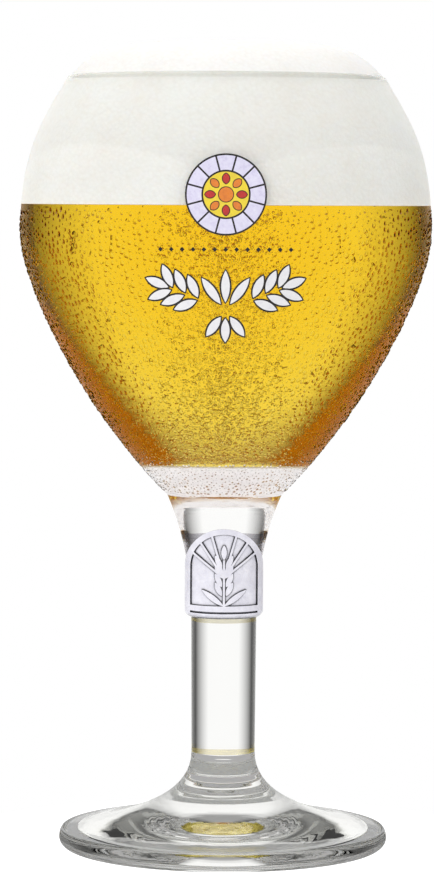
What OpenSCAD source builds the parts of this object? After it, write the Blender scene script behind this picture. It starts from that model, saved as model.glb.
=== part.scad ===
// Stemmed chalice for beer, filled and with its head of foam.
// The bowl, neck, stem and foot are glass pieces fused end to end, two moulded seals sit
// on the neck, and the decoration on the bowl is enamel, one thin layer for each ink.
// Z runs up the axis from the table, and -Y is the decorated front.

/* [Bowl] */
// Height of the rim above the table
rim_h = 181; // [166:1:196]
// Outside diameter of the rim
rim_d = 74.2; // [66:0.1:84]
// Outside diameter of the bowl where it is widest
belly_d = 96.1; // [90:0.1:106]
// Height of the widest ring above the table
belly_h = 145; // [138:1:152]
// Height of the joint between the bowl and the neck
bowl_base_h = 83.2; // [78:0.1:88]
// Diameter of the joint between the bowl and the neck
bowl_base_d = 26.9; // [23:0.1:31]
// Angle above level at which the bowl's side leaves the neck
base_rise = 44.7; // [38:0.1:52]
// Angle above level at which the bowl's side meets the rim
rim_rise = 60.4; // [52:0.1:70]
// Wall at the bottom of the bowl
base_wall = 2.4; // [1.8:0.1:3.2]
// Wall at the widest ring
belly_wall = 1.8; // [1.4:0.1:2.6]
// Wall at the rim, which is also the width of its fire-polished bead
rim_wall = 1.6; // [1.2:0.1:2.2]
// Thickness of the clear glass under the beer
floor_wall = 8.4; // [6:0.1:9.5]
// Height in which the floor of the bowl turns up into its side
floor_turn = 1.5; // [1:0.1:4]

/* [Neck and stem] */
// Height of the joint between the neck and the stem
neck_base_h = 53.5; // [50:0.1:57]
// Diameter of the stem at the neck
stem_top_d = 15.3; // [14:0.1:17]
// Diameter of the stem at the foot
stem_low_d = 14.9; // [13.5:0.1:16.5]
// Angle above level at which the neck's side meets the bowl
neck_rise = 65.6; // [56:0.1:74]

/* [Foot] */
// Outside diameter of the foot
foot_d = 77.2; // [75:0.1:86]
// Height of the joint between the stem and the foot
foot_top_h = 22.5; // [19:0.1:26]
// Height of the crease round the foot's upper edge
foot_edge_h = 4.6; // [3.5:0.1:6]
// Height at which the foot is widest
foot_wide_h = 2.3; // [1.5:0.1:3]
// How far the crease lies inside the widest ring
foot_edge_inset = 1; // [0.5:0.1:2]
// Slope of the foot's upper side at the crease, above level
foot_slope = 13; // [8:0.1:18]
// Outside diameter of the flat ring that the foot stands on
ring_d = 72; // [66:0.1:74]
// Width of that ring
ring_w = 2.6; // [1.5:0.1:4]
// Height of the hollow under the foot, at the axis
underside_h = 3.2; // [1.5:0.1:5]

/* [Drink] */
// Height of the beer's surface above the table
beer_h = 151; // [135:1:162]
// Height of the foam's crown above the rim
crown_h = 8; // [3:0.1:12]

/* [Seals on the neck] */
// Width of a seal, seen from the front
seal_w = 18.4; // [16:0.1:18.6]
// Height of a seal's lower edge above the joint of neck and stem
seal_lift = 1; // [0.4:0.1:3]
// Height of bare neck between the crown of a seal's arch and the bowl
seal_headroom = 7.3; // [5:0.1:9]
// Diameter over the pair of seals
seals_d = 19; // [18.8:0.1:21]
// How far a seal stands out where the neck is wider than the seals
seal_relief = 0.5; // [0.45:0.05:1]
// Height over which a seal's lower edge rounds in to the neck
seal_round = 2.4; // [1:0.1:3]
// Width of the raised frame round a seal
frame_w = 1.3; // [0.8:0.1:2]
// Height of the plain sill under the sunk field
sill_h = 3.2; // [3:0.1:4.5]
// Width of the groove along the sill
groove_w = 0.5; // [0.3:0.1:0.8]
// Depth of the sunk field and of the groove
field_depth = 0.4; // [0.2:0.05:0.4]

/* [Barley on the seals] */
// Length of one barley grain
grain_l = 3.6; // [2.6:0.1:4.4]
// Width of one barley grain
grain_w = 1.3; // [0.9:0.1:1.6]
// Pairs of grains in the ear
grain_pairs = 4; // [2:1:4]
// Angle between a grain and the stalk
grain_splay = 26; // [14:1:34]
// Distance between the pairs along the stalk
grain_pitch = 2.1; // [1.8:0.1:2.4]
// Thickness of the stalk and the beards
stalk_w = 0.5; // [0.3:0.05:0.7]
// Length of the bare stalk under the ear
stalk_l = 2.4; // [1.5:0.1:3.2]
// Length of a leaf
leaf_l = 6.5; // [4:0.1:8]
// Angle between a leaf and the stalk
leaf_lean = 54; // [44:1:64]

/* [Enamel rosette] */
// Thickness of the fired enamel
enamel_t = 0.12; // [0.08:0.02:0.3]
// Width of the black lines
line_w = 0.4; // [0.25:0.05:0.45]
// Outside diameter of the rosette
rosette_d = 18.2; // [15:0.1:20]
// Height of the rosette's centre below the rim
rosette_drop = 27.6; // [25:0.1:30]
// Panes in the rosette's outer band
panes = 12; // [6:1:14]
// Petals in the rosette's flower, red and orange by turns
petals = 8; // [4:2:8]
// Width of one petal
petal_w = 1.5; // [1:0.1:1.8]
// Diameter of the rosette's middle
heart_d = 3.2; // [2:0.1:4]

/* [Enamel garland] */
// Height of the garland's centre below the rim
garland_drop = 53.4; // [50:0.1:57]
// Width of the garland of barley ears
garland_w = 35.5; // [34:0.1:40]
// Rows of grains in each ear of the garland
ear_rows = 3; // [2:1:3]
// Length of the bare middle before the first grains of an ear
ear_start = 6.8; // [6:0.1:7.5]
// How steeply the garland's ears rise
ear_lift = 22; // [16:1:28]
// Angle between a printed grain and its ear
print_splay = 44; // [38:1:52]
// Length of one printed grain
print_grain_l = 5.4; // [4.6:0.1:5.8]
// Width of one printed grain
print_grain_w = 1.9; // [1.4:0.1:2]
// Length of a leaf in the middle of the garland
print_leaf_l = 7.2; // [5:0.1:8]
// Angle between the leaves in the middle of the garland
leaf_fan = 36; // [32:1:40]
// Lozenges in the row between the rosette and the garland
lozenges = 13; // [5:2:15]
// Width of the row of lozenges
lozenge_row_w = 29; // [24:0.5:34]
// Width of one lozenge
lozenge_w = 1.1; // [0.6:0.1:1.5]

/* [Hidden] */

$fn = 96;
curve_steps = 22;
round_steps = 8;
quarter_turn = 90;
half_turn = 180;
full_turn = 360;

rim_r = rim_d / 2;
belly_r = belly_d / 2;
bowl_base_r = bowl_base_d / 2;
stem_top_r = stem_top_d / 2;
stem_low_r = stem_low_d / 2;
foot_r = foot_d / 2;
ring_r = ring_d / 2;
seals_r = seals_d / 2;
bead_r = rim_wall / 2;
floor_h = bowl_base_h + floor_wall;

// How far each curve keeps the direction of its end, as a share of the height it climbs
base_pull_share = 0.444;
belly_low_pull_share = 0.208;
belly_high_pull_share = 0.558;
rim_pull_share = 0.281;
neck_low_pull_share = 0.42;
neck_high_pull_share = 0.271;
flare_top_pull_share = 0.735;
flare_edge_pull_share = 0.52;
edge_pull_share = 0.55;
// The foam's crown, as shares of the rim's radius, and its angle above level at the rim
crown_edge_pull_share = 0.27;
crown_top_pull_share = 0.684;
crown_rise = 49.2;

// Curves. A curve is four points, and its ends point at the middle two.
function towards(angle, reach) = reach * [cos(angle), sin(angle)];
function mix(a, b, t) = a + (b - a) * t;
function on_curve(c, t) = pow(1 - t, 3) * c[0] + 3 * pow(1 - t, 2) * t * c[1]
    + 3 * (1 - t) * pow(t, 2) * c[2] + pow(t, 3) * c[3];
function along_curve(c, t) = pow(1 - t, 2) * (c[1] - c[0])
    + 2 * (1 - t) * t * (c[2] - c[1]) + pow(t, 2) * (c[3] - c[2]);
function right_of(v) = [v[1], -v[0]] / norm(v);
function beside_curve(c, t, gap) = on_curve(c, t) + gap * right_of(along_curve(c, t));
function curve(c, steps = curve_steps) = [for (i = [0 : steps]) on_curve(c, i / steps)];
function back_to_front(points) = [for (i = [len(points) - 1 : -1 : 0]) points[i]];

// Cuts across a line of points that climbs
function radius_at(points, h) = lookup(h, [for (p = points) [p[1], p[0]]]);
function below(points, h) =
    concat([for (p = points) if (p[1] < h) p], [[radius_at(points, h), h]]);
function above(points, h) =
    concat([[radius_at(points, h), h]], [for (p = points) if (p[1] > h) p]);
function between(points, low_h, high_h) = above(below(points, high_h), low_h);

// Outside of the bowl, from the neck up to the bead on the rim
rim_edge_h = rim_h - bead_r * (1 - cos(rim_rise));
low_climb = belly_h - bowl_base_h;
high_climb = rim_edge_h - belly_h;
bowl_base = [bowl_base_r, bowl_base_h];
belly = [belly_r, belly_h];
rim_edge = [rim_r, rim_edge_h];
low_side = [bowl_base, bowl_base + towards(base_rise, low_climb * base_pull_share),
            belly - [0, low_climb * belly_low_pull_share], belly];
high_side = [belly, belly + [0, high_climb * belly_high_pull_share],
             rim_edge + towards(-rim_rise, high_climb * rim_pull_share), rim_edge];

// The skin of the bowl, a given distance outside its surface
function bowl_skin(gap) = concat(
    [for (i = [0 : curve_steps - 1]) beside_curve(low_side, i / curve_steps, gap)],
    [for (i = [0 : curve_steps]) beside_curve(high_side, i / curve_steps, gap)]);

// The inner wall, which thins from the bottom to the rim, and its rounded floor
wall_line = concat(
    [for (i = [0 : curve_steps - 1])
        beside_curve(low_side, i / curve_steps, -mix(base_wall, belly_wall, i / curve_steps))],
    [for (i = [0 : curve_steps])
        beside_curve(high_side, i / curve_steps, -mix(belly_wall, rim_wall, i / curve_steps))]);
side_wall = above(wall_line, floor_h + floor_turn);
turn_way = side_wall[1] - side_wall[0];
turn_corner = side_wall[0] - turn_way * floor_turn / turn_way[1];
turn_start = turn_corner - [norm(side_wall[0] - turn_corner), 0];
function floor_turn_at(t) = pow(1 - t, 2) * turn_start + 2 * (1 - t) * t * turn_corner
    + pow(t, 2) * side_wall[0];
inner_wall = concat([for (i = [0 : round_steps - 1]) floor_turn_at(i / round_steps)], side_wall);

// The bead on the rim, from the outside over the top to the inner wall
bead_centre = rim_edge - towards(quarter_turn - rim_rise, bead_r);
rim_bead = [for (i = [1 : round_steps - 1])
    bead_centre + towards(quarter_turn - rim_rise + half_turn * i / round_steps, bead_r)];
bead_top = bead_centre + [0, bead_r];
bead_inside = [for (p = rim_bead) if (p[0] < bead_top[0]) p];

// The neck, which flares up to the bowl
neck_base = [stem_top_r, neck_base_h];
neck_climb = bowl_base_h - neck_base_h;
neck_side = [neck_base, neck_base + [0, neck_climb * neck_low_pull_share],
             bowl_base - towards(neck_rise, neck_climb * neck_high_pull_share), bowl_base];
neck_line = curve(neck_side);

// The foot: its flare, its edge, the ring it stands on and the hollow under it
foot_top = [stem_low_r, foot_top_h];
foot_crease = [foot_r - foot_edge_inset, foot_edge_h];
foot_wide = [foot_r, foot_wide_h];
flare_drop = foot_top_h - foot_edge_h;
edge_drop = foot_edge_h - foot_wide_h;
flare_side = [foot_top, foot_top - [0, flare_drop * flare_top_pull_share],
              foot_crease + towards(half_turn - foot_slope, flare_drop * flare_edge_pull_share),
              foot_crease];
upper_edge = [foot_crease, foot_crease + [foot_edge_inset * edge_pull_share, 0],
              foot_wide + [0, edge_drop * edge_pull_share], foot_wide];
lower_edge = [foot_wide, foot_wide - [0, foot_wide_h * edge_pull_share],
              [mix(ring_r, foot_r, edge_pull_share), 0], [ring_r, 0]];
hollow_r = ring_r - ring_w;
hollow_ball_r = (pow(hollow_r, 2) + pow(underside_h, 2)) / (2 * underside_h);
hollow_line = [for (i = [0 : curve_steps]) let (r = hollow_r * (1 - i / curve_steps))
    [r, underside_h - hollow_ball_r + sqrt(pow(hollow_ball_r, 2) - pow(r, 2))]];

// The foam's crown, from the top of the rim's bead in to the axis
crown_top = [0, rim_h + crown_h];
crown_side = [bead_top, bead_top + towards(half_turn - crown_rise, rim_r * crown_edge_pull_share),
              crown_top + [rim_r * crown_top_pull_share, 0], crown_top];

// The seals: heights up the neck, and the line of their outer face
seal_low_h = neck_base_h + seal_lift;
seal_top_h = bowl_base_h - seal_headroom;
seal_h = seal_top_h - seal_low_h;
seal_spring_h = seal_top_h - seal_w / 2;
seal_round_h = seal_low_h + seal_round;
sill_top_h = seal_low_h + sill_h;
groove_low_h = (seal_low_h + sill_top_h - groove_w) / 2;
neck_at_seal = between(neck_line, seal_low_h, seal_top_h + frame_w);
seal_foot_r = neck_at_seal[0][0];
function seal_face(depth) = concat(
    [for (i = [0 : round_steps]) let (turn = quarter_turn * i / round_steps)
        [max(mix(seal_foot_r, seals_r, sin(turn)) - depth, seal_foot_r),
         seal_round_h - seal_round * cos(turn)]],
    [for (p = neck_at_seal) if (p[1] > seal_round_h)
        [max(seals_r, p[0] + seal_relief) - depth, p[1]]]);

// The barley on a seal: its ear, and how far each pair of beards spreads
ear_base_h = sill_top_h + stalk_l;
ear_l = grain_pitch * grain_pairs;
beard_spread_share = [0.62, 1.3, 2];
relief_reach = 2 * seals_d;

// Decoration on the bowl: a rosette, a row of lozenges and a garland below them
rosette_h = rim_h - rosette_drop;
rosette_r = rosette_d / 2;
heart_r = heart_d / 2;
band_share = 0.6;
band_r = rosette_r * band_share;
petal_l = band_r - heart_r - 4 * line_w;
garland_h = rim_h - garland_drop;
leaf_start = print_leaf_l / 4;
ear_pitch = (garland_w / 2 / cos(ear_lift) - ear_start - print_grain_l - 2 * line_w)
    / (ear_rows - 1);
lozenge_h = mix(garland_h + leaf_start + print_leaf_l, rosette_h - rosette_r, 0.6);
print_low_h = garland_h - leaf_start - 1.2 * print_leaf_l;
print_high_h = rosette_h + rosette_d;
print_reach = belly_d;

// Flat shapes
// A pointed grain, leaf or petal from the origin up, made where two circles cross
module lens(length, width) {
    side_r = (pow(length, 2) + pow(width, 2)) / (4 * width);
    translate([0, length / 2])
        intersection() {
            translate([side_r - width / 2, 0]) circle(r = side_r);
            translate([width / 2 - side_r, 0]) circle(r = side_r);
        }
}

module ring_band(outer_r, inner_r) {
    difference() {
        circle(r = outer_r);
        circle(r = inner_r);
    }
}

module around(count, first = 0, step = 1) {
    for (i = [first : step : count - 1]) rotate(full_turn * i / count) children();
}

// Everything in front of the axis plane that lies over a flat shape
module to_front(depth) {
    rotate([quarter_turn, 0, 0]) linear_extrude(height = depth) children();
}

// A turned solid, with its seam at the back
module turned(points) {
    rotate(quarter_turn) rotate_extrude() polygon(points);
}

// Glass
module bowl() {
    color([0.93, 0.95, 0.94, 0.35])
        turned(concat([[0, bowl_base_h]], bowl_skin(0), rim_bead, back_to_front(inner_wall),
                      [[0, floor_h]]));
}

module neck() {
    color([0.93, 0.95, 0.94, 0.45])
        turned(concat([[0, neck_base_h]], neck_line, [[0, bowl_base_h]]));
}

module stem() {
    color([0.9, 0.92, 0.92, 0.45])
        turned([[0, foot_top_h], foot_top, neck_base, [0, neck_base_h]]);
}

module foot() {
    color([0.93, 0.95, 0.94, 0.45])
        turned(concat([[0, foot_top_h]], curve(flare_side), curve(upper_edge, round_steps),
                      curve(lower_edge, round_steps), hollow_line));
}

// Raised work on a seal, as flat shapes
module seal_stalk() {
    translate([-stalk_w / 2, sill_top_h]) square([stalk_w, stalk_l + ear_l]);
}

module seal_grain(place, side) {
    translate([side * stalk_w, ear_base_h + grain_pitch * place])
        rotate(-side * grain_splay) lens(grain_l, grain_w);
}

module seal_beard(lean) {
    translate([0, ear_base_h + ear_l / 2])
        rotate(-lean) translate([-stalk_w / 2, 0]) square([stalk_w, seal_h]);
}

module seal_leaf(lean) {
    translate([0, sill_top_h]) rotate(-lean) lens(leaf_l, grain_w);
}

// The children inside a seal's outline, a rectangle less what its round arch leaves out
module seal_arch(inset, low_h) {
    half_w = seal_w / 2 - inset;
    difference() {
        intersection() {
            to_front(seals_d) translate([-half_w, low_h])
                square([2 * half_w, seal_top_h - low_h + frame_w]);
            children();
        }
        to_front(relief_reach) difference() {
            translate([-seal_w, seal_spring_h]) square([2 * seal_w, seal_w]);
            translate([0, seal_spring_h]) circle(r = half_w);
        }
    }
}

// The sunk field of a seal, less the barley that stands in it
module seal_field() {
    difference() {
        seal_arch(frame_w, sill_top_h)
            turned(concat(seal_face(-field_depth), back_to_front(seal_face(field_depth))));
        to_front(relief_reach) seal_stalk();
        for (side = [-1, 1], share = beard_spread_share)
            to_front(relief_reach) seal_beard(side * grain_splay * share);
        for (side = [-1, 1])
            to_front(relief_reach) seal_leaf(side * leaf_lean);
        for (place = [0 : grain_pairs - 1], side = [-1, 1])
            to_front(relief_reach) seal_grain(place, side);
        to_front(relief_reach) seal_grain(grain_pairs, 0);
    }
}

// The groove along the sill, as wide as the field
module sill_groove() {
    half_w = seal_w / 2 - frame_w;
    intersection() {
        to_front(seals_d) translate([-half_w, groove_low_h]) square([2 * half_w, groove_w]);
        turned(concat(seal_face(-field_depth), back_to_front(seal_face(field_depth))));
    }
}

module seal() {
    difference() {
        seal_arch(0, seal_low_h) turned(concat(seal_face(0), back_to_front(neck_at_seal)));
        seal_field();
        sill_groove();
    }
}

module front_seal() {
    color([0.9, 0.9, 0.95, 0.6]) seal();
}

module back_seal() {
    color([0.9, 0.9, 0.95, 0.6]) rotate(half_turn) seal();
}

// Drink
module beer() {
    color([0.98, 0.76, 0.05, 0.75])
        turned(concat([[0, floor_h]], below(inner_wall, beer_h), [[0, beer_h]]));
}

module foam_head() {
    color([0.96, 0.94, 0.9])
        turned(concat([[0, beer_h]], above(inner_wall, beer_h), back_to_front(bead_inside),
                      curve(crown_side, curve_steps)));
}

// Enamel
// A thin layer on the front of the bowl, over a flat shape
module enamel() {
    intersection() {
        to_front(print_reach) children();
        turned(concat(between(bowl_skin(enamel_t), print_low_h, print_high_h),
                      back_to_front(between(bowl_skin(0), print_low_h, print_high_h))));
    }
}

module at_rosette() {
    translate([0, rosette_h]) children();
}

// One pane of the rosette's outer band, between two black bars
module pane() {
    half_step = half_turn / panes;
    apex = line_w / 2 / sin(half_step);
    side_x = rosette_d * sin(half_step);
    side_y = apex + rosette_d * cos(half_step);
    intersection() {
        ring_band(rosette_r - line_w, band_r);
        polygon([[0, apex], [side_x, side_y], [-side_x, side_y]]);
    }
}

// A lens widened all round by a given line
module widened_lens(length, width, line) {
    translate([0, -line]) lens(length + 2 * line, width + 2 * line);
}

module petal(line = 0) {
    translate([0, heart_r + 2 * line_w]) widened_lens(petal_l, petal_w, line);
}

// One grain or leaf of the garland: white, or the black line round it
module garland_leaf(turn, start, lean, length, width, black) {
    enamel()
        translate([0, garland_h]) rotate(turn) translate(start) rotate(lean)
            difference() {
                widened_lens(length, width, black ? line_w : 0);
                if (black) lens(length, width);
            }
}

// Two barley ears, and three leaves above and three below where they meet
module garland(black) {
    for (ear = [-1, 1]) {
        turn = ear * (quarter_turn - ear_lift);
        for (row = [0 : ear_rows - 1], side = [-1, 1])
            garland_leaf(turn, [side * line_w, ear_start + row * ear_pitch],
                         -side * print_splay, print_grain_l, print_grain_w, black);
        garland_leaf(turn, [0, ear_start + (ear_rows - 1) * ear_pitch + 2 * line_w], 0,
                     print_grain_l, print_grain_w, black);
    }
    for (i = [-1 : 1]) {
        garland_leaf(i * leaf_fan, [0, leaf_start], 0, print_leaf_l, print_grain_w, black);
        garland_leaf(half_turn + i * leaf_fan, [0, leaf_start], 0,
                     print_leaf_l * 3 / 4, print_grain_w, black);
    }
}

module enamel_black() {
    color([0.1, 0.08, 0.08]) {
        enamel() at_rosette() difference() {
            circle(r = rosette_r);
            around(panes) pane();
            circle(r = band_r - line_w);
        }
        for (i = [0 : petals - 1])
            enamel() at_rosette() rotate(full_turn * i / petals) difference() {
                petal(line_w / 2);
                petal();
            }
        enamel() at_rosette() ring_band(heart_r + line_w / 2, heart_r);
        for (i = [0 : lozenges - 1])
            enamel() translate([lozenge_row_w * (i / (lozenges - 1) - 1 / 2), lozenge_h])
                circle(d = lozenge_w, $fn = 4);
        garland(true);
    }
}

module enamel_white() {
    color([0.97, 0.96, 0.95]) garland(false);
}

module enamel_lilac() {
    color([0.82, 0.8, 0.92]) enamel() at_rosette() around(panes) pane();
}

module enamel_yellow() {
    color([0.98, 0.85, 0.1]) enamel() at_rosette() difference() {
        circle(r = band_r - line_w);
        around(petals) petal(line_w / 2);
        circle(r = heart_r + line_w / 2);
    }
}

module enamel_red() {
    color([0.8, 0.13, 0.1]) enamel() at_rosette() around(petals, 0, 2) petal();
}

module enamel_orange() {
    color([0.93, 0.5, 0.12]) enamel() at_rosette() {
        around(petals, 1, 2) petal();
        circle(r = heart_r);
    }
}

bowl();
neck();
stem();
foot();
front_seal();
back_seal();
beer();
foam_head();
enamel_black();
enamel_white();
enamel_lilac();
enamel_yellow();
enamel_red();
enamel_orange();
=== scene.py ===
# Looks of the stemmed chalice of beer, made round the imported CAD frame.
# Z runs up the glass from the table and -Y is the decorated front. Lengths are in metres.
import math

import bpy
import numpy as np
from mathutils import Matrix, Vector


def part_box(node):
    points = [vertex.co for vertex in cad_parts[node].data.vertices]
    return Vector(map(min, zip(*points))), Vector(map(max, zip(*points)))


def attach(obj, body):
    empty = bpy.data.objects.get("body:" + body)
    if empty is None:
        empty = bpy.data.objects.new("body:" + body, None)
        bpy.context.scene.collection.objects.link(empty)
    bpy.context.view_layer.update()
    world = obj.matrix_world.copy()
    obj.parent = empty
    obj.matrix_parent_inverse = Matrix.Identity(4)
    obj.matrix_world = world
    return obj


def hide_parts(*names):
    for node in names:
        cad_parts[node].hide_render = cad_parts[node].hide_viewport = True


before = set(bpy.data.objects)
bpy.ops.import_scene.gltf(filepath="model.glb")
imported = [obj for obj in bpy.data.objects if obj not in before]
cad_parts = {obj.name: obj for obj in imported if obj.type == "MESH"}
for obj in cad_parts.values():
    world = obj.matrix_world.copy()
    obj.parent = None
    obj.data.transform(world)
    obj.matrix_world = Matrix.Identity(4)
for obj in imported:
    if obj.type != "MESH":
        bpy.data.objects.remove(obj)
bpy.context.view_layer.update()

MM = 0.001
AROUND = 192
FINER = 3
SHARP_TURN = math.radians(28)
ON_AXIS = 1e-6
SAME_RING = 0.003 * MM
SKIN_GAP = 0.05 * MM
GLASS_IOR = 1.52
MIRROR_SHARE = 0.22
ETCHED_RADIUS = 16 * MM
ETCHED_FADE = 2 * MM
ETCHED_RISE = 1.0 * MM
DRY_RIM = 1.2 * MM

DROP_LEAST = 0.4 * MM
DROP_LARGEST = 1.25 * MM
DROP_SPACING = 1.2 * MM
DROP_BANDS = 4
FINE_DEW_SHARE = 0.6
THROUGH_A_DROP = 1.6 * MM
WET_SIDE = "wet_side"

BUBBLES = 4000.0
BUBBLE_LEAST = 0.25 * MM
BUBBLE_LARGEST = 0.75 * MM
COLUMN_RADIUS = 12 * MM

FLOOR_RADIUS = 70 * MM
LAMP_STRENGTH = 2.0

FOAM_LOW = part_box("foam_head")[0].z
BEER_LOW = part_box("beer")[0].z
BOWL_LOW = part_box("bowl")[0].z


# Nodes and materials

def put(tree, kind, inputs=None, **settings):
    """A new node with its settings. Each input is linked if it is a socket, and set if it is a value."""
    made = tree.nodes.new(kind)
    for name, value in settings.items():
        setattr(made, name, value)
    for name, value in (inputs or {}).items():
        if isinstance(value, bpy.types.NodeSocket):
            tree.links.new(value, made.inputs[name])
        else:
            made.inputs[name].default_value = value
    return made


def maths(tree, operation, a, b=0.0):
    """The result of one sum on numbers or sockets."""
    return put(tree, "ShaderNodeMath", {0: a, 1: b}, operation=operation).outputs[0]


def product(tree, a, b):
    """Two numbers or sockets multiplied."""
    return maths(tree, "MULTIPLY", a, b)


def vectors(tree, operation, a, b=None):
    """The outputs of one sum on vectors."""
    inputs = {0: a} if b is None else {0: a, 1: b}
    return put(tree, "ShaderNodeVectorMath", inputs, operation=operation).outputs


def blank_material(name):
    """A material with nothing in its tree but its output, and that output."""
    made = bpy.data.materials.new(name)
    made.use_nodes = True
    made.node_tree.nodes.clear()
    return made, made.node_tree, put(made.node_tree, "ShaderNodeOutputMaterial")


def place_of(tree):
    """Where a point lies on its piece."""
    return put(tree, "ShaderNodeTexCoord").outputs["Object"]


def from_axis(tree):
    """The level arrow from the glass's axis to a point."""
    return vectors(tree, "MULTIPLY", place_of(tree), (1, 1, 0))[0]


def grain(tree, scale, detail=3.0, rough=0.5):
    """Soft noise over the piece, from 0 to 1, with the given number of spots to a metre."""
    spots = {"Vector": place_of(tree), "Scale": scale, "Detail": detail, "Roughness": rough}
    return put(tree, "ShaderNodeTexNoise", spots).outputs["Fac"]


def cells(tree, scale):
    """How far the nearest cell's middle is, with the given number of cells to a metre."""
    spots = {"Vector": place_of(tree), "Scale": scale}
    return put(tree, "ShaderNodeTexVoronoi", spots, feature="F1").outputs["Distance"]


def spread(tree, value, low, high, to_low=0.0, to_high=1.0):
    """The value stretched from one range to another."""
    ends = {"Value": value, "From Min": low, "From Max": high, "To Min": to_low, "To Max": to_high}
    return put(tree, "ShaderNodeMapRange", ends).outputs["Result"]


def mixed(tree, share, first, second):
    """One colour turning into another, each a socket or four numbers."""
    return put(tree, "ShaderNodeMix", {0: share, 6: first, 7: second}, data_type="RGBA").outputs[2]


def tint(tree, value, low_colour, high_colour):
    """A colour between two plain ones, by a value from 0 to 1."""
    return mixed(tree, value, (*low_colour, 1), (*high_colour, 1))


def bumps(tree, height, depth):
    """Normals for a height from 0 to 1 that stands for the given depth."""
    inputs = {"Height": height, "Distance": depth, "Strength": 1.0}
    return put(tree, "ShaderNodeBump", inputs).outputs["Normal"]


def blend(tree, share, first, second):
    """One finish turning into another."""
    return put(tree, "ShaderNodeMixShader", {0: share, 1: first, 2: second}).outputs[0]


def clear(tree, colour=(1, 1, 1, 1)):
    """A finish that lets light straight through."""
    return put(tree, "ShaderNodeBsdfTransparent", {"Color": colour}).outputs[0]


def matt(tree, colour):
    """A finish that scatters light evenly."""
    return put(tree, "ShaderNodeBsdfDiffuse", {"Color": colour}).outputs[0]


def use(tree, finish, out):
    """Makes a finish the material's surface."""
    tree.links.new(finish, out.inputs["Surface"])


def let_lamps_through(tree, glass, out, clear_colour=(1, 1, 1)):
    """Glass to the eye, and clear to the light that falls through it on to what lies behind."""
    path = put(tree, "ShaderNodeLightPath").outputs
    passing = maths(tree, "MAXIMUM", path["Is Shadow Ray"], path["Is Diffuse Ray"])
    use(tree, blend(tree, passing, glass, clear(tree, (*clear_colour, 1))), out)


def polished_skin(tree, colour, ior, normal):
    """Glass from the inside. From the outside it bends light as glass does and mirrors only a share of
    what glass would, as in a studio with black cards beside the lens."""
    skin = {"Color": colour, "Roughness": 0.0, "Normal": normal}
    inside = put(tree, "ShaderNodeBsdfGlass", {**skin, "IOR": ior}).outputs[0]
    bent = put(tree, "ShaderNodeBsdfRefraction", {**skin, "IOR": ior}).outputs[0]
    mirrored = put(tree, "ShaderNodeBsdfGlossy", skin).outputs[0]
    edge = put(tree, "ShaderNodeFresnel", {"IOR": ior, "Normal": normal}).outputs[0]
    outside = blend(tree, product(tree, edge, MIRROR_SHARE), bent, mirrored)
    backfacing = put(tree, "ShaderNodeNewGeometry").outputs["Backfacing"]
    return blend(tree, backfacing, outside, inside)


def glass_tint(tree):
    """The faint, uneven tint of clear glass."""
    return tint(tree, grain(tree, 40), (0.99, 0.99, 0.98), (1.0, 1.0, 0.995))


def clear_glass(name, ripple, ripples_to_metre):
    """Fire-polished glass with faint ripples."""
    made, tree, out = blank_material(name)
    waves = grain(tree, ripples_to_metre, 1.5)
    glass = polished_skin(tree, glass_tint(tree), GLASS_IOR, bumps(tree, waves, ripple))
    let_lamps_through(tree, glass, out, (0.97, 0.98, 0.97))
    return made


def misted_glass():
    """The bowl's glass, with the finest dew on it as a grain of tiny lenses below the foam. Light that
    has just come through a drop is in the glass already, so it passes without bending again."""
    made, tree, out = blank_material("misted bowl glass")
    height = put(tree, "ShaderNodeSeparateXYZ", {0: place_of(tree)}).outputs["Z"]
    beads = spread(tree, cells(tree, 1500), 0.42, 0.12)
    patchy = spread(tree, grain(tree, 160), 0.35, 0.6)
    under_foam = spread(tree, height, FOAM_LOW, FOAM_LOW - 2 * MM)
    mist = product(tree, product(tree, beads, patchy), under_foam)
    glass = polished_skin(tree, glass_tint(tree), GLASS_IOR, bumps(tree, mist, 0.012 * MM))
    run = put(tree, "ShaderNodeLightPath").outputs["Ray Length"]
    inside = put(tree, "ShaderNodeNewGeometry").outputs["Backfacing"]
    from_drop = maths(tree, "GREATER_THAN", maths(tree, "LESS_THAN", run, THROUGH_A_DROP), inside)
    wetted = blend(tree, from_drop, glass, clear(tree))
    let_lamps_through(tree, wetted, out, (0.97, 0.98, 0.97))
    return made


def no_border(name):
    """A face inside the glass, where two pieces are fused or a drink wets the wall. Nothing bends."""
    made, tree, out = blank_material(name)
    use(tree, clear(tree, tint(tree, grain(tree, 60), (0.995, 0.998, 0.996), (1, 1, 1))), out)
    return made


def etched_floor():
    """The etched spot on the bowl's floor, which sets the bubbles free: frosted, speckled and pale. It
    fades to clear glass at its edge."""
    made, tree, out = blank_material("etched bowl floor")
    speckled = spread(tree, cells(tree, 1500), 0.18, 0.3)
    colour = tint(tree, speckled, (0.55, 0.52, 0.55), (0.99, 0.97, 1.0))
    glow = put(tree, "ShaderNodeBsdfTranslucent", {"Color": colour}).outputs[0]
    frost = blend(tree, 0.25, matt(tree, colour), glow)
    radius = vectors(tree, "LENGTH", from_axis(tree))["Value"]
    edge = spread(tree, radius, ETCHED_RADIUS, ETCHED_RADIUS + ETCHED_FADE)
    worn = spread(tree, grain(tree, 300), 0.3, 0.6, 0.0, 0.08)
    use(tree, blend(tree, maths(tree, "MAXIMUM", worn, edge), frost, clear(tree)), out)
    return made


def joint_painted_glint():
    """The joint of two pressed glass pieces, a faint yellow plane: a painted glint standing in for light
    carried inside the stem.
    """
    made, tree, out = blank_material("joint painted glint")
    patchy = spread(tree, grain(tree, 250), 0.35, 0.65)
    # Painted glint: the yellow tone and its matt share stand in for light carried along inside the stem,
    # not a colour of the joint.
    colour = tint(tree, patchy, (0.55, 0.44, 0.06), (0.85, 0.77, 0.3))
    use(tree, blend(tree, 0.34, clear(tree, (0.985, 0.965, 0.88, 1)), matt(tree, colour)), out)
    return made


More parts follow.
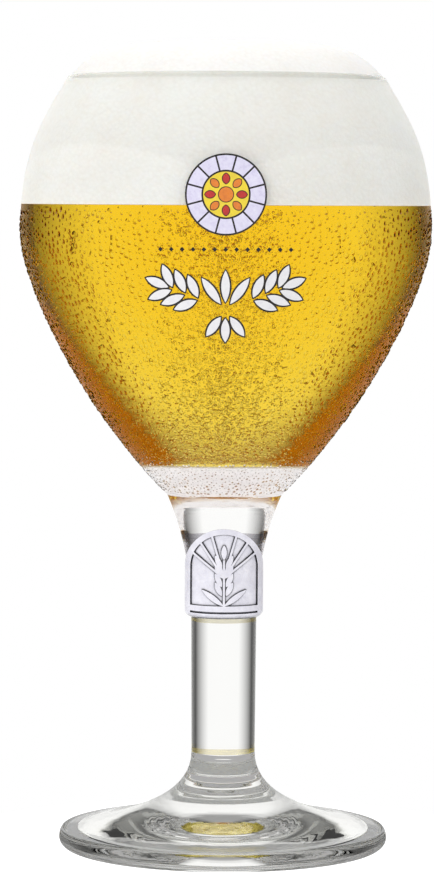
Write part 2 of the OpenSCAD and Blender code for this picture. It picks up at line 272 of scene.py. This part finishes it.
def golden_beer():
    """Clear golden beer, met from inside the glass. The colour deepens with the depth of the drink."""
    made, tree, out = blank_material("golden beer")
    colour = tint(tree, grain(tree, 90), (0.99, 0.98, 0.95), (1, 1, 1))
    glass = put(tree, "ShaderNodeBsdfGlass", {"Color": colour, "Roughness": 0.0, "IOR": 0.882})
    let_lamps_through(tree, glass.outputs[0], out)
    depth = put(tree, "ShaderNodeVolumeAbsorption", {"Color": (0.9963, 0.92, 0.35, 1), "Density": 70.0})
    tree.links.new(depth.outputs[0], out.inputs["Volume"])
    return made


def beer_foam():
    """Dense off-white foam of fine bubbles, with a pebbled skin."""
    made, tree, out = blank_material("beer foam")
    froth = cells(tree, 1100)
    height = maths(tree, "ADD", product(tree, froth, -0.5), grain(tree, 260, 4, 0.6))
    cloudy = maths(tree, "ADD", grain(tree, 45), product(tree, froth, 0.35))
    colour = tint(tree, spread(tree, cloudy, 0.4, 0.9), (0.97, 0.955, 0.93), (0.90, 0.87, 0.83))
    skin = put(tree, "ShaderNodeBsdfPrincipled",
               {"Base Color": colour, "Roughness": 0.75, "Subsurface Weight": 0.35,
                "Subsurface Scale": 0.002, "Normal": bumps(tree, height, 0.18 * MM)})
    skin.inputs["Subsurface Radius"].default_value = (1.0, 0.85, 0.7)
    skin.inputs["Specular IOR Level"].default_value = 0.2
    use(tree, skin.outputs[0], out)
    return made


def foam_underside_painted_shade():
    """The foam's lower face, which lies on the beer and shows only through it. It is painted brown as
    painted shade, which darkens the lower flanks of the beer to red-brown.
    """
    made, tree, out = blank_material("foam underside painted shade")
    lumps = spread(tree, grain(tree, 220, 4), 0.3, 0.7)
    # Painted shade: a brown sheet under the foam, seen through the beer as darker red-brown flanks.
    use(tree, matt(tree, tint(tree, lumps, (0.50, 0.31, 0.28), (0.38, 0.22, 0.2))), out)
    return made


def dew():
    """Water in drops on the cold glass. A drop's wet side lies in the glass and bends nothing."""
    made, tree, out = blank_material("dew")
    colour = tint(tree, grain(tree, 500), (0.96, 0.97, 0.97), (1, 1, 1))
    normal = put(tree, "ShaderNodeNewGeometry").outputs["Normal"]
    water = polished_skin(tree, colour, 1.45, normal)
    wet_side = put(tree, "ShaderNodeAttribute", attribute_name=WET_SIDE).outputs["Fac"]
    let_lamps_through(tree, blend(tree, wet_side, water, clear(tree)), out)
    return made


def gas():
    """Gas in bubbles, met from inside the beer."""
    made, tree, out = blank_material("bubbles")
    colour = tint(tree, grain(tree, 700), (0.97, 0.97, 0.94), (1, 1, 1))
    hollow = put(tree, "ShaderNodeBsdfGlass", {"Color": colour, "Roughness": 0.0, "IOR": 0.746})
    let_lamps_through(tree, hollow.outputs[0], out)
    return made


def moulded_seal():
    """Moulded glass with a stippled field. Its steep edges and creases carry painted shade: the base
    colour goes near black there, standing in for the dark lines a glass relief shows in light. Most of
    the light that reaches it through the neck goes on."""
    made, tree, out = blank_material("moulded seal glass")
    normal = put(tree, "ShaderNodeNewGeometry").outputs["Normal"]
    outward = vectors(tree, "NORMALIZE", from_axis(tree))[0]
    facing = vectors(tree, "DOT_PRODUCT", normal, outward)["Value"]
    # Painted shade: steep walls and the creases found by ambient occlusion darken the base colour
    # towards near black.
    painted_crease_shade = put(tree, "ShaderNodeAmbientOcclusion", {"Distance": 0.5 * MM}, samples=8).outputs["AO"]
    painted_edge_and_crease_shade = maths(tree, "MAXIMUM", spread(tree, facing, 0.92, 0.5), spread(tree, painted_crease_shade, 0.93, 0.62))
    cloudy = spread(tree, grain(tree, 420, 4), 0.35, 0.65)
    milky = tint(tree, cloudy, (0.88, 0.87, 0.95), (0.76, 0.75, 0.84))
    glass = put(tree, "ShaderNodeBsdfPrincipled",
                {"Base Color": mixed(tree, painted_edge_and_crease_shade, milky, (0.05, 0.05, 0.06, 1)),
                 "Roughness": 0.22, "IOR": 1.5, "Coat Weight": 0.6, "Coat Roughness": 0.05,
                 "Normal": bumps(tree, cells(tree, 2200), 0.05 * MM)}).outputs[0]
    bounced = put(tree, "ShaderNodeLightPath").outputs["Transmission Depth"]
    from_neck = product(tree, maths(tree, "GREATER_THAN", bounced, 0.5), 0.8)
    use(tree, blend(tree, from_neck, glass, clear(tree, (0.94, 0.93, 0.96, 1))), out)
    return made


def enamel(name, colour, deeper):
    """Fired enamel: smooth and slightly uneven in colour, with a glassy skin."""
    made, tree, out = blank_material(name)
    mottle = spread(tree, grain(tree, 900, 4, 0.6), 0.35, 0.7)
    glaze = put(tree, "ShaderNodeBsdfPrincipled",
                {"Base Color": tint(tree, mottle, colour, deeper),
                 "Roughness": spread(tree, mottle, 0, 1, 0.25, 0.4),
                 "Coat Weight": 0.4, "Coat Roughness": 0.06,
                 "Normal": bumps(tree, mottle, 0.01 * MM)})
    use(tree, glaze.outputs[0], out)
    return made


def pale_floor():
    """The studio's floor: plain opal sheet, lit from under, which shows white to the eye and grey in
    what the glass bends."""
    made, tree, out = blank_material("studio floor")
    opal = tint(tree, grain(tree, 30), (0.34, 0.34, 0.35), (0.38, 0.38, 0.39))
    path = put(tree, "ShaderNodeLightPath").outputs
    shining = maths(tree, "ADD", path["Is Camera Ray"], product(tree, path["Is Diffuse Ray"], 2.0))
    sheet = put(tree, "ShaderNodeBsdfPrincipled",
                {"Base Color": opal, "Roughness": 0.9, "Emission Color": (1, 1, 1, 1),
                 "Emission Strength": product(tree, shining, 0.97)})
    sheet.inputs["Specular IOR Level"].default_value = 0.0
    use(tree, sheet.outputs[0], out)
    return made


# Turned pieces

def rings_of(node):
    """The rings of a turned CAD node as rows of radius and height, and the pairs that its mesh joins."""
    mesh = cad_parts[node].data
    points = np.array([v.co for v in mesh.vertices])
    across = np.stack([np.hypot(points[:, 0], points[:, 1]), points[:, 2]], 1)
    rings, ring_at = [], {}
    for at in np.unique(np.round(across, 6), axis=0):
        near = [i for i, ring in enumerate(rings) if np.abs(ring - at).max() < SAME_RING]
        if not near:
            rings.append(at)
        ring_at[tuple(at)] = near[0] if near else len(rings) - 1
    place = [ring_at[tuple(at)] for at in np.round(across, 6)]
    pairs = {tuple(sorted((place[e.vertices[0]], place[e.vertices[1]]))) for e in mesh.edges}
    return np.array(rings), [p for p in pairs if p[0] != p[1]]


def outline_of(node):
    """The outline of a turned CAD node from one flat end or pole to the other, lower end first."""
    rings, pairs = rings_of(node)
    beside = {i: set() for i in range(len(rings))}
    for a, b in pairs:
        beside[a].add(b)
        beside[b].add(a)
    ends = sorted((i for i in beside if len(beside[i]) == 1), key=lambda i: rings[i][1])
    walk = [ends[0]]
    while walk[-1] != ends[-1]:
        onward = [i for i in beside[walk[-1]] if i not in walk]
        walk.append(min(onward, key=lambda i: np.linalg.norm(rings[i] - rings[walk[-1]])))
    return rings[walk]


def smoothed(line, parts=FINER):
    """The same line with more points, as a curve through them that keeps its sharp corners."""
    steps = np.diff(line, axis=0)
    lengths = np.linalg.norm(steps, axis=1)
    ways = steps / lengths[:, None]
    before = np.vstack([ways[:1], ways])
    after = np.vstack([ways, ways[-1:]])
    soft = (before * after).sum(1) > math.cos(SHARP_TURN)
    mean = before + after
    mean /= np.linalg.norm(mean, axis=1)[:, None] + 1e-12
    made = [line[0]]
    for i, length in enumerate(lengths):
        leave = (mean[i] if soft[i] else after[i]) * length
        arrive = (mean[i + 1] if soft[i + 1] else before[i + 1]) * length
        for t in np.arange(1, parts + 1) / parts:
            made.append((2 * t**3 - 3 * t**2 + 1) * line[i] + (t**3 - 2 * t**2 + t) * leave
                        + (3 * t**2 - 2 * t**3) * line[i + 1] + (t**3 - t**2) * arrive)
    return np.array(made)


def turned(name, line, materials, sides=None, caps=(0, 0)):
    """A closed piece turned from an outline, with the material number of each step and each cap."""
    angles = np.arange(AROUND) * 2 * math.pi / AROUND
    verts, rings = [], []
    for radius, height in line:
        if radius < ON_AXIS:
            rings.append([len(verts)])
            verts.append((0, 0, height))
        else:
            rings.append(list(range(len(verts), len(verts) + AROUND)))
            verts += [(radius * math.cos(a), radius * math.sin(a), height) for a in angles]
    faces, kinds = [], []
    for i in range(len(rings) - 1):
        low, high = rings[i], rings[i + 1]
        for k in range(AROUND):
            n = (k + 1) % AROUND
            corners = [low[k % len(low)], low[n % len(low)], high[n % len(high)], high[k % len(high)]]
            faces.append(list(dict.fromkeys(corners)))
            kinds.append(sides[i] if sides else 0)
    for ring, kind in ((rings[0], caps[0]), (rings[-1], caps[1])):
        if len(ring) > 1:
            centre = len(verts)
            verts.append((0, 0, verts[ring[0]][2]))
            faces += [[ring[k], ring[(k + 1) % AROUND], centre] for k in range(AROUND)]
            kinds += [kind] * AROUND
    made = solid(name, verts, faces, materials, kinds)
    sharpen(made)
    return made


def solid(name, verts, faces, materials, kinds=None):
    """A smooth closed mesh object with its faces turned outwards."""
    mesh = bpy.data.meshes.new(name)
    mesh.from_pydata(verts, [], faces)
    for material in materials:
        mesh.materials.append(material)
    if kinds:
        mesh.polygons.foreach_set("material_index", kinds)
    mesh.polygons.foreach_set("use_smooth", [True] * len(mesh.polygons))
    mesh.update()
    if volume_of(mesh) < 0:
        mesh.flip_normals()
    made = bpy.data.objects.new(name, mesh)
    bpy.context.scene.collection.objects.link(made)
    return made


def volume_of(mesh):
    """The volume inside a closed mesh, negative if its faces point inwards."""
    mesh.calc_loop_triangles()
    points = np.array([v.co for v in mesh.vertices])
    corners = points[np.array([t.vertices for t in mesh.loop_triangles])]
    return np.einsum("ij,ij->i", corners[:, 0], np.cross(corners[:, 1], corners[:, 2])).sum() / 6


def sharpen(piece):
    """Marks the edges where a piece turns sharply, so that its faces shade apart there."""
    mesh = piece.data
    faces_at = {}
    for face in mesh.polygons:
        for key in face.edge_keys:
            faces_at.setdefault(key, []).append(face.normal)
    for edge in mesh.edges:
        normals = faces_at[tuple(sorted(edge.vertices))]
        if len(normals) == 2 and normals[0].dot(normals[1]) < math.cos(SHARP_TURN):
            edge.use_edge_sharp = True


def shrunk(line, gap):
    """The outline moved inwards by a gap, away from the glass around it."""
    steps = np.gradient(line, axis=0)
    ways = steps / (np.linalg.norm(steps, axis=1)[:, None] + 1e-12)
    across = np.stack([-ways[:, 1], ways[:, 0]], 1)
    moved = line + gap * across * np.sign(-across[len(line) // 2, 0])
    moved[:, 0] = np.maximum(moved[:, 0], 0)
    moved[line[:, 0] < ON_AXIS, 0] = 0
    return moved


def dress(piece, slot, *nodes):
    """Puts a finished piece on the frame, in place of the CAD nodes that it stands for."""
    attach(piece, "root")
    if nodes:
        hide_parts(*nodes)
    return piece


# What repeats: drops and bubbles

def geometry_tree(name, sizes):
    """A geometry tree with a named input for each size."""
    tree = bpy.data.node_groups.new(name, "GeometryNodeTree")
    tree.interface.new_socket("Geometry", in_out="INPUT", socket_type="NodeSocketGeometry")
    for size in sizes:
        tree.interface.new_socket(size, in_out="INPUT", socket_type="NodeSocketFloat")
    tree.interface.new_socket("Shape", in_out="INPUT", socket_type="NodeSocketObject")
    tree.interface.new_socket("Material", in_out="INPUT", socket_type="NodeSocketMaterial")
    tree.interface.new_socket("Geometry", in_out="OUTPUT", socket_type="NodeSocketGeometry")
    return tree, put(tree, "NodeGroupInput").outputs


def set_out(tree, points, turn, size, given):
    """Ends a tree: the shape on each point, made real and given its material."""
    shape = put(tree, "GeometryNodeObjectInfo", {"Object": given["Shape"]}).outputs["Geometry"]
    many = put(tree, "GeometryNodeInstanceOnPoints",
               {"Points": points, "Instance": shape, "Rotation": turn, "Scale": size})
    real = put(tree, "GeometryNodeRealizeInstances", {0: many.outputs[0]})
    done = put(tree, "GeometryNodeSetMaterial", {0: real.outputs[0], "Material": given["Material"]})
    put(tree, "NodeGroupOutput", {0: done.outputs[0]})


def random_share(tree, seed):
    """A random number from 0 to 1 for each point."""
    return put(tree, "FunctionNodeRandomValue", {8: seed}, data_type="FLOAT").outputs[1]


def sized(tree, share, bias, low, high):
    """A random size between two, nearer the lower one the higher the bias."""
    lean = maths(tree, "POWER", share, bias)
    return spread(tree, lean, 0, 1, low, high)


def drops_tree():
    """Drops scattered on a surface, each with its long side up the glass, and smaller at the back."""
    sizes = ["Spacing", "Drops to a square metre", "Least size", "Largest size", "Bias", "Size behind",
             "Seed"]
    tree, given = geometry_tree("drops", sizes)
    spots = put(tree, "GeometryNodeDistributePointsOnFaces",
                {"Mesh": given["Geometry"], "Distance Min": given["Spacing"],
                 "Density Max": given["Drops to a square metre"], "Seed": given["Seed"]},
                distribute_method="POISSON")
    out = put(tree, "FunctionNodeAlignRotationToVector", {"Vector": spots.outputs["Normal"]}, axis="Z")
    up = put(tree, "FunctionNodeAlignRotationToVector",
             {"Rotation": out.outputs[0], "Vector": (0, 0, 1)}, axis="Y", pivot_axis="Z")
    size = sized(tree, random_share(tree, 11), given["Bias"], given["Least size"], given["Largest size"])
    place = put(tree, "GeometryNodeInputPosition").outputs[0]
    depth = put(tree, "ShaderNodeSeparateXYZ", {0: place}).outputs["Y"]
    finer = spread(tree, depth, -5 * MM, 15 * MM, 1.0, given["Size behind"])
    set_out(tree, spots.outputs["Points"], up.outputs[0], product(tree, size, finer), given)
    return tree


def bubbles_tree():
    """Bubbles in a rising column round the axis, thickest low down."""
    sizes = ["Count", "Low", "High", "Column radius", "Least size", "Largest size", "Bias"]
    tree, given = geometry_tree("bubbles", sizes)
    turn = product(tree, random_share(tree, 3), 2 * math.pi)
    rise = maths(tree, "POWER", random_share(tree, 5), 1.35)
    out = product(tree, maths(tree, "POWER", random_share(tree, 7), 0.75), given["Column radius"])
    place = put(tree, "ShaderNodeCombineXYZ",
                {"X": product(tree, out, maths(tree, "COSINE", turn)),
                 "Y": product(tree, out, maths(tree, "SINE", turn)),
                 "Z": spread(tree, rise, 0, 1, given["Low"], given["High"])})
    points = put(tree, "GeometryNodePoints", {"Count": given["Count"], "Position": place.outputs[0]})
    size = sized(tree, random_share(tree, 13), given["Bias"], given["Least size"], given["Largest size"])
    still = put(tree, "FunctionNodeEulerToRotation")
    set_out(tree, points.outputs[0], still.outputs[0], size, given)
    return tree


def scatter(name, tree, base, inputs):
    """A plain mesh of what a tree makes of its base and its named inputs."""
    modifier = base.modifiers.new(name, "NODES")
    modifier.node_group = tree
    for item in tree.interface.items_tree:
        if item.in_out == "INPUT" and item.name in inputs:
            modifier[item.identifier] = inputs[item.name]
    held = base.evaluated_get(bpy.context.evaluated_depsgraph_get())
    mesh = bpy.data.meshes.new_from_object(held)
    mesh.name = name
    base.modifiers.remove(modifier)
    mesh.polygons.foreach_set("use_smooth", [True] * len(mesh.polygons))
    made = bpy.data.objects.new(name, mesh)
    bpy.context.scene.collection.objects.link(made)
    return made


def drop_shape(around, up):
    """One drop a metre wide, for scaling: a low cap that hangs a little heavier at its lower end."""
    height, sunk, long, heavier = 0.25, 0.02, 1.3, 0.4
    verts = [(0, 0, height - sunk)]
    for i in range(1, up + 1):
        reach = i / up
        for k in range(around):
            turn = 2 * math.pi * k / around
            across, along = 0.5 * reach * math.cos(turn), 0.5 * reach * math.sin(turn)
            verts.append((across * (1 - heavier * along), long * along,
                          height * (1 - reach**2) - sunk))
    faces = [[0, 1 + k, 1 + (k + 1) % around] for k in range(around)]
    for i in range(up - 1):
        first, second = 1 + i * around, 1 + (i + 1) * around
        faces += [[first + k, second + k, second + (k + 1) % around, first + (k + 1) % around]
                  for k in range(around)]
    faces.append([1 + (up - 1) * around + k for k in reversed(range(around))])
    made = solid("drop shape", verts, faces, [])
    sharpen(made)
    wet = made.data.attributes.new(WET_SIDE, "FLOAT", "FACE")
    wet.data[len(faces) - 1].value = 1.0
    return made


def bubble_shape():
    """One round bubble a metre across, for scaling."""
    around, up = 6, 4
    verts = [(0, 0, 0.5)]
    for i in range(1, up):
        tilt = i / up * math.pi
        verts += [(0.5 * math.sin(tilt) * math.cos(2 * math.pi * k / around),
                   0.5 * math.sin(tilt) * math.sin(2 * math.pi * k / around),
                   0.5 * math.cos(tilt)) for k in range(around)]
    verts.append((0, 0, -0.5))
    last = len(verts) - 1
    faces = [[0, 1 + k, 1 + (k + 1) % around] for k in range(around)]
    for i in range(up - 2):
        first, second = 1 + i * around, 1 + (i + 1) * around
        faces += [[first + k, second + k, second + (k + 1) % around, first + (k + 1) % around]
                  for k in range(around)]
    low = last - around
    faces += [[low + k, last, low + (k + 1) % around] for k in range(around)]
    return solid("bubble shape", verts, faces, [])


# The glass

def make_glass(fused):
    """Bowl, neck, stem and foot as smooth turned glass, fused where they meet."""
    bowl_line = outline_of("bowl")
    top = int(np.argmax(bowl_line[:, 1]))
    fine = smoothed(bowl_line)
    wetted_below = bowl_line[top][1] - DRY_RIM
    etched_below = fine[-1][1] + ETCHED_RISE
    skin, joint, wetted, etched = range(4)
    outside = [skin] * (top * FINER)
    inside = [etched if z < etched_below else wetted if z < wetted_below else skin
              for radius, z in fine[top * FINER:-1]]
    glasses = [misted_glass(), fused, no_border("wetted wall"), etched_floor()]
    bowl = turned("bowl_glass", fine, glasses, outside + inside, (joint, etched))
    dress(bowl, "clear_glass", "bowl")
    plain = clear_glass("stem glass", 0.004 * MM, 30)
    rippled = clear_glass("foot glass", 0.04 * MM, 110)
    # pressed is the joint material with the painted yellow glint; the seam caps use it.
    pressed = joint_painted_glint()
    seam = 2
    for node, glass, caps in (("neck", plain, (seam, joint)), ("stem", plain, (seam, seam)),
                              ("foot", rippled, (joint, seam))):
        line = smoothed(outline_of(node))
        line[:, 1] = line[:, 1].clip(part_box(node)[0].z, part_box(node)[1].z)
        piece = turned(node + "_glass", line, [glass, fused, pressed], caps=caps)
        dress(piece, "clear_glass", node)
    return bowl_line[:top + 1]


# The drink

def make_drink():
    """The beer and its foam, each a hair inside the glass."""
    beer_line = shrunk(smoothed(outline_of("beer")), SKIN_GAP)
    beer_line[0, 1] = beer_line[:, 1].min()
    beer_line[-1, 1] -= SKIN_GAP
    beer = turned("golden_beer", beer_line, [golden_beer()])
    dress(beer, "beer", "beer")
    foam_line = smoothed(outline_of("foam_head"))
    by_wall = (foam_line[:, 1] > FOAM_LOW + 0.2 * MM) & (foam_line[:, 0] > 30 * MM)
    foam_line[by_wall, 0] -= SKIN_GAP
    # The foam's lower cap takes the brown painted shade.
    foam = turned("foam", foam_line, [beer_foam(), foam_underside_painted_shade()], caps=(1, 0))
    dress(foam, "foam", "foam_head")


def make_bubbles():
    """The cloud of bubbles that rises through the middle of the beer."""
    shape = bubble_shape()
    base = bubble_shape()
    made = scatter("bubbles", bubbles_tree(), base, {
        "Shape": shape, "Material": gas(), "Count": BUBBLES, "Low": BEER_LOW + 3 * MM,
        "High": FOAM_LOW - 1.5 * MM, "Column radius": COLUMN_RADIUS, "Least size": BUBBLE_LEAST,
        "Largest size": BUBBLE_LARGEST, "Bias": 2.0})
    bpy.data.objects.remove(shape)
    bpy.data.objects.remove(base)
    dress(made, "beer")


def make_drops(outside):
    """Dew on the outside of the bowl below the foam, in bands that share one scatter tree. The lowest
    band, round the bowl's clear floor, is finer."""
    shape, water, tree = drop_shape(8, 2), dew(), drops_tree()
    ends = np.linspace(BOWL_LOW + 1 * MM, FOAM_LOW - 1 * MM, DROP_BANDS + 1)
    for i in range(DROP_BANDS):
        skin = turned("skin", smoothed(between(outside, ends[i], ends[i + 1])), [])
        skin.data = without_caps(skin.data)
        finer = FINE_DEW_SHARE if i == 0 else 1.0
        drops = scatter("drops_%d" % (i + 1), tree, skin, {
            "Shape": shape, "Material": water, "Spacing": DROP_SPACING * finer,
            "Drops to a square metre": 3e6, "Least size": DROP_LEAST * finer,
            "Largest size": DROP_LARGEST * finer, "Bias": 1.5, "Size behind": 0.45, "Seed": 4.0 + i})
        bpy.data.objects.remove(skin)
        dress(drops, "clear_glass")
    bpy.data.objects.remove(shape)


def between(line, low, high):
    """The part of a rising line from one height to another, with a point made at each end."""
    heights = np.concatenate([[low], line[(line[:, 1] > low) & (line[:, 1] < high), 1], [high]])
    return np.stack([np.interp(heights, line[:, 1], line[:, 0]), heights], 1)


def without_caps(mesh):
    """The mesh without its flat ends, as a skin to scatter on."""
    sides = [list(f.vertices) for f in mesh.polygons if len(f.vertices) == 4]
    made = bpy.data.meshes.new(mesh.name)
    made.from_pydata([v.co for v in mesh.vertices], [], sides)
    return made


# Seals and enamel, which keep their CAD shape

def finish_nodes():
    """Gives the seals and the inks, whose CAD shapes stay, their finish."""
    seal = moulded_seal()
    for node in ("front_seal", "back_seal"):
        repaint(node, seal)
    inks = {"enamel_black": ((0.012, 0.009, 0.01), (0.03, 0.02, 0.02)),
            "enamel_white": ((0.93, 0.92, 0.93), (0.84, 0.83, 0.88)),
            "enamel_lilac": ((0.70, 0.66, 0.86), (0.80, 0.78, 0.93)),
            "enamel_yellow": ((0.93, 0.72, 0.03), (0.80, 0.60, 0.04)),
            "enamel_red": ((0.62, 0.03, 0.02), (0.45, 0.02, 0.02)),
            "enamel_orange": ((0.85, 0.25, 0.02), (0.7, 0.18, 0.02))}
    for node, (colour, deeper) in inks.items():
        repaint(node, enamel(node.replace("_", " "), colour, deeper))


def repaint(node, material):
    """Gives a CAD node a material."""
    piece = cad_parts[node]
    piece.data.materials.clear()
    piece.data.materials.append(material)


# The studio

def make_floor():
    """A round plain floor under the glass."""
    sides = 128
    turns = [2 * math.pi * k / sides for k in range(sides)]
    edge = [(FLOOR_RADIUS * math.cos(a), FLOOR_RADIUS * math.sin(a), 0) for a in turns]
    mesh = bpy.data.meshes.new("floor")
    mesh.from_pydata(edge, [], [list(range(sides))])
    mesh.materials.append(pale_floor())
    floor = bpy.data.objects.new("floor", mesh)
    bpy.context.scene.collection.objects.link(floor)


# Grey light round the glass. Each stop gives an angle in degrees from straight behind and the light
# there: a bright backdrop between two dark cards, and a dim room in front.
BACKDROP_AND_CARDS = [(-180, 0.6), (-90, 0.3), (-50, 0.05), (-20, 1.0), (20, 1.0), (50, 0.05),
                      (90, 0.3), (180, 0.6)]
SOFT_BOX = [(-180, 1.15), (-90, 1.1), (0, 1.0), (90, 0.6), (180, 1.15)]
SOFT_OVERHEAD = (0.8, 0.8, 0.8, 1)
BLACK = (0, 0, 0, 1)


def light_ramp(tree, turn, stops):
    """The grey light at each angle round the glass, from a list of stops."""
    ramp = put(tree, "ShaderNodeValToRGB", {0: spread(tree, turn, -math.pi, math.pi)})
    points = ramp.color_ramp.elements
    for i, (angle, light) in enumerate(stops):
        place = (angle + 180) / 360
        stop = points[i] if i < 2 else points.new(place)
        stop.position = place
        stop.color = (*(light / LAMP_STRENGTH,) * 3, 1)
    return ramp.outputs[0]


def make_light():
    """Plain soft grey light from all round: a bright backdrop between dark cards for what shows in
    glass, dimmer overhead, and a soft box for matt things. The eye sees a white backdrop."""
    world = bpy.data.worlds.new("studio")
    bpy.context.scene.world = world
    world.use_nodes = True
    tree = world.node_tree
    tree.nodes.clear()
    way = put(tree, "ShaderNodeTexCoord").outputs["Generated"]
    parts = put(tree, "ShaderNodeSeparateXYZ", {0: way}).outputs
    height = parts["Z"]
    turn = maths(tree, "ARCTAN2", parts["X"], parts["Y"])
    dimming = spread(tree, height, 0.42, 0.62, 0.0, 0.65)
    in_glass = mixed(tree, dimming, light_ramp(tree, turn, BACKDROP_AND_CARDS), BLACK)
    overhead = spread(tree, height, 0.45, 0.8)
    soft_box = mixed(tree, overhead, light_ramp(tree, turn, SOFT_BOX), SOFT_OVERHEAD)
    path = put(tree, "ShaderNodeLightPath").outputs
    aimed = mixed(tree, path["Is Diffuse Ray"], in_glass, soft_box)
    studio = put(tree, "ShaderNodeBackground", {"Color": aimed, "Strength": LAMP_STRENGTH}).outputs[0]
    backdrop = put(tree, "ShaderNodeBackground", {"Color": (1, 1, 1, 1), "Strength": 1.0}).outputs[0]
    both = blend(tree, path["Is Camera Ray"], studio, backdrop)
    put(tree, "ShaderNodeOutputWorld", {"Surface": both})


def make_camera():
    """The camera where the photograph was taken from, in front of the glass and above the floor."""
    far, height = 0.880, 0.1513
    look_down, look_left, roll = math.radians(3.59), math.radians(0.118), math.radians(0.3)
    lens = bpy.data.cameras.new("camera")
    lens.lens = 153.8
    lens.sensor_width = 36
    lens.clip_start = 0.01
    camera = bpy.data.objects.new("camera", lens)
    bpy.context.scene.collection.objects.link(camera)
    aim = (Matrix.Rotation(look_left, 4, "Z") @ Matrix.Rotation(math.pi / 2 - look_down, 4, "X")
           @ Matrix.Rotation(roll, 4, "Z"))
    camera.matrix_world = Matrix.Translation((0, -far, height)) @ aim
    bpy.context.scene.camera = camera


def set_light_paths():
    """Lets light pass the many clear layers of a full glass."""
    cycles = bpy.context.scene.cycles
    cycles.max_bounces = 24
    cycles.transmission_bounces = 20
    cycles.glossy_bounces = 8
    cycles.diffuse_bounces = 4
    cycles.transparent_max_bounces = 24
    cycles.volume_bounces = 2
    cycles.use_denoising = True
    bpy.context.scene.view_settings.view_transform = "Standard"


outside = make_glass(no_border("fused joint"))
make_drink()
make_bubbles()
make_drops(outside)
finish_nodes()
make_floor()
make_light()
make_camera()
set_light_paths()
